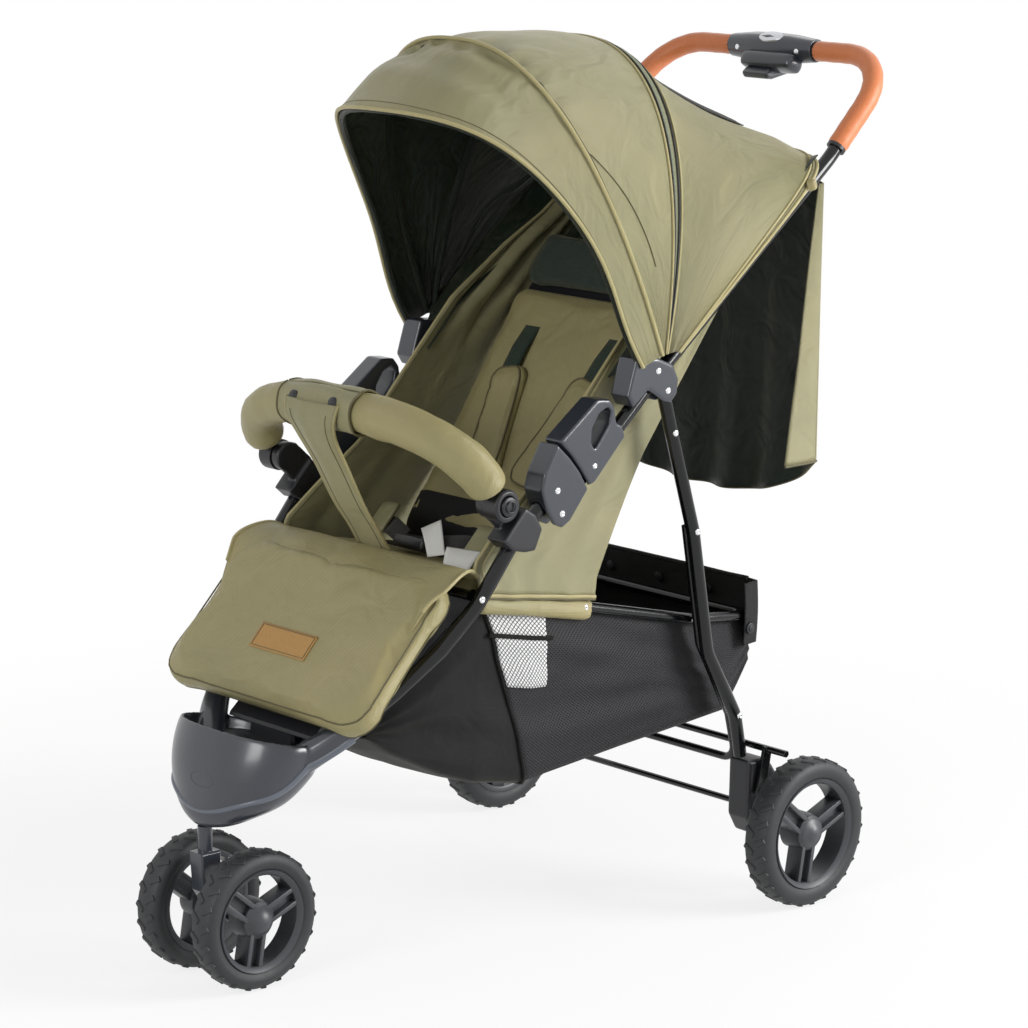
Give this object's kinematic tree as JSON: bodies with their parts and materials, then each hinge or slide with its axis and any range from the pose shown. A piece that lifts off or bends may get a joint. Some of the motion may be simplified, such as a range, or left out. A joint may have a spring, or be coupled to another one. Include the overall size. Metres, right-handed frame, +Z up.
{
  "type": "three-wheel-style pushchair",
  "caption": "Folding pushchair: padded reclining seat, hood on wire bows, padded bumper bar, leg rest, basket, swivelling twin front wheels, braked rear wheels.",
  "frame": {"origin": "on the floor, under the middle of the object's bounding box", "axes": "+Z up, -Y towards the front wheels, +X to the seated child's left"},
  "size_m": [0.585, 1.0058, 1.0624],
  "materials": {
    "black_steel": "gloss black powder coat",
    "bare_steel": "satin",
    "charcoal_plastic": "satin",
    "black_plastic": "satin",
    "rim_plastic": "satin",
    "tyre_rubber": "matt, with tread",
    "olive_cloth": "fine satin weave",
    "black_cloth": "matt cloth and net",
    "tan_grip": "matt foam skin"
  },
  "bodies": {
    "front_frame": {"nose_shell": "charcoal_plastic", "footboard": "black_plastic", "front_tube_left": "black_steel", "front_tube_right": "black_steel", "lower_latch_left": "charcoal_plastic", "lower_latch_right": "charcoal_plastic", "bumper_mount_left": "black_plastic", "bumper_mount_right": "black_plastic", "seat_front_bar": "black_steel"},
    "leg_rest": {"leg_rest_board": "black_plastic", "leg_rest_cushion": "olive_cloth"},
    "bumper": {"bumper_bar": "black_plastic", "bumper_pad": "olive_cloth", "crotch_strap": "olive_cloth"},
    "bumper_button_left": {"bumper_button_left": "black_plastic"},
    "bumper_button_right": {"bumper_button_right": "black_plastic"},
    "front_fork": {"front_fork": "charcoal_plastic", "front_axle": "bare_steel"},
    "front_wheel_left": {"front_rim_left": "rim_plastic", "front_tyre_left": "tyre_rubber"},
    "front_wheel_right": {"front_rim_right": "rim_plastic", "front_tyre_right": "tyre_rubber"},
    "upper_frame": {"handle_tube": "black_steel", "handle_grip_left": "tan_grip", "handle_grip_right": "tan_grip", "handle_hub": "charcoal_plastic", "canopy_bracket_left": "charcoal_plastic", "canopy_bracket_right": "charcoal_plastic", "canopy_rear_panel": "olive_cloth", "canopy_drape": "olive_cloth"},
    "latch_sleeve_left": {"latch_sleeve_left": "charcoal_plastic"},
    "latch_sleeve_right": {"latch_sleeve_right": "charcoal_plastic"},
    "handle_lever": {"handle_lever": "charcoal_plastic"},
    "canopy_front_bow": {"canopy_front_bow": "bare_steel", "canopy_visor": "olive_cloth"},
    "canopy_mid_bow": {"canopy_mid_bow": "bare_steel", "canopy_mid_panel": "olive_cloth"},
    "canopy_rear_bow": {"canopy_rear_bow": "bare_steel"},
    "rear_legs": {"rear_leg_left": "black_steel", "rear_leg_right": "black_steel", "rear_brace": "black_steel", "rear_cross_rod": "black_steel", "wheel_bracket_left": "black_plastic", "wheel_bracket_right": "black_plastic", "rear_axle_left": "bare_steel", "rear_axle_right": "bare_steel"},
    "rear_wheel_left": {"rear_rim_left": "rim_plastic", "rear_tyre_left": "tyre_rubber"},
    "rear_wheel_right": {"rear_rim_right": "rim_plastic", "rear_tyre_right": "tyre_rubber"},
    "brake_bar": {"brake_bar": "black_steel"},
    "seat_rail": {"seat_rail": "black_steel", "seat_board": "black_plastic", "seat_cover": "olive_cloth", "basket": "black_cloth", "buckle": "black_plastic"},
    "backrest": {"backrest_board": "black_plastic", "backrest_pad": "olive_cloth", "shoulder_pad_left": "olive_cloth", "shoulder_pad_right": "olive_cloth"}
  },
  "joints": [
    {"name": "frame_fold", "type": "hinge", "parent": "front_frame", "child": "upper_frame", "pos_m": [0, -0.0853, 0.5255], "axis": [1, 0, 0], "range_deg": [-96, 0]},
    {"name": "rear_leg_fold", "type": "hinge", "parent": "upper_frame", "child": "rear_legs", "pos_m": [0, 0.0895, 0.6511], "axis": [1, 0, 0], "range_deg": [0, 52]},
    {"name": "seat_rail_fold", "type": "hinge", "parent": "front_frame", "child": "seat_rail", "pos_m": [0, -0.2024, 0.4472], "axis": [1, 0, 0], "range_deg": [-65, 0], "deforming": ["basket"]},
    {"name": "backrest_recline", "type": "hinge", "parent": "seat_rail", "child": "backrest", "pos_m": [0, -0.02, 0.426], "axis": [1, 0, 0], "range_deg": [-30, 0], "deforming": ["seat_cover", "canopy_drape"]},
    {"name": "leg_rest_tilt", "type": "hinge", "parent": "front_frame", "child": "leg_rest", "pos_m": [0, -0.2024, 0.4472], "axis": [-1, 0, 0], "range_deg": [0, 45]},
    {"name": "bumper_tilt", "type": "hinge", "parent": "front_frame", "child": "bumper", "pos_m": [0, -0.178, 0.552], "axis": [1, 0, 0], "range_deg": [0, 45], "deforming": ["crotch_strap"]},
    {"name": "bumper_button_left_press", "type": "slide", "parent": "bumper", "child": "bumper_button_left", "axis": [-1, 0, 0], "range_m": [0, 0.004], "stiffness_N_per_m": 600, "springref_m": -0.002},
    {"name": "bumper_button_right_press", "type": "slide", "parent": "bumper", "child": "bumper_button_right", "axis": [1, 0, 0], "range_m": [0, 0.004], "stiffness_N_per_m": 600, "springref_m": -0.002},
    {"name": "front_swivel", "type": "hinge", "parent": "front_frame", "child": "front_fork", "pos_m": [0, -0.449, 0.1875], "axis": [0, 0, 1], "continuous": true},
    {"name": "front_wheel_left_spin", "type": "hinge", "parent": "front_fork", "child": "front_wheel_left", "pos_m": [0.05, -0.419, 0.082], "axis": [1, 0, 0], "continuous": true},
    {"name": "front_wheel_right_spin", "type": "hinge", "parent": "front_fork", "child": "front_wheel_right", "pos_m": [-0.05, -0.419, 0.082], "axis": [1, 0, 0], "continuous": true},
    {"name": "handle_lever_squeeze", "type": "hinge", "parent": "upper_frame", "child": "handle_lever", "pos_m": [0, 0.492, 0.995], "axis": [-1, 0, 0], "range_deg": [0, 10]},
    {"name": "latch_sleeve_left_slide", "type": "slide", "parent": "upper_frame", "child": "latch_sleeve_left", "axis": [0, 0.7528, 0.6583], "range_m": [0, 0.018], "stiffness_N_per_m": 60, "springref_m": -0.015},
    {"name": "latch_sleeve_right_slide", "type": "slide", "parent": "upper_frame", "child": "latch_sleeve_right", "axis": [0, 0.7528, 0.6583], "range_m": [0, 0.018]},
    {"name": "canopy_front_fold", "type": "hinge", "parent": "upper_frame", "child": "canopy_front_bow", "pos_m": [0, 0.075, 0.685], "axis": [1, 0, 0], "range_deg": [-74, 0], "deforming": ["canopy_visor", "canopy_mid_panel", "canopy_rear_panel"]},
    {"name": "canopy_mid_fold", "type": "hinge", "parent": "upper_frame", "child": "canopy_mid_bow", "pos_m": [0, 0.075, 0.685], "axis": [1, 0, 0], "range_deg": [-65, 0]},
    {"name": "canopy_rear_fold", "type": "hinge", "parent": "upper_frame", "child": "canopy_rear_bow", "pos_m": [0, 0.075, 0.685], "axis": [1, 0, 0], "range_deg": [-38, 0]},
    {"name": "rear_wheel_left_spin", "type": "hinge", "parent": "rear_legs", "child": "rear_wheel_left", "pos_m": [0.273, 0.267, 0.093], "axis": [1, 0, 0], "continuous": true},
    {"name": "rear_wheel_right_spin", "type": "hinge", "parent": "rear_legs", "child": "rear_wheel_right", "pos_m": [-0.273, 0.267, 0.093], "axis": [1, 0, 0], "continuous": true},
    {"name": "brake_press", "type": "hinge", "parent": "rear_legs", "child": "brake_bar", "pos_m": [0, 0.247, 0.138], "axis": [1, 0, 0], "range_deg": [-25, 0]}
  ],
  "couplings": [
    {"joint": "rear_leg_fold", "follows": "frame_fold", "ratio": -0.54},
    {"joint": "seat_rail_fold", "follows": "frame_fold", "ratio": 0.674},
    {"joint": "canopy_mid_fold", "follows": "canopy_front_fold", "ratio": 0.865},
    {"joint": "canopy_rear_fold", "follows": "canopy_front_fold", "ratio": 0.5},
    {"joint": "latch_sleeve_right_slide", "follows": "latch_sleeve_left_slide", "ratio": 1},
    {"joint": "handle_lever_squeeze", "follows": "latch_sleeve_left_slide", "rad_per_m": 9.69}
  ]
}
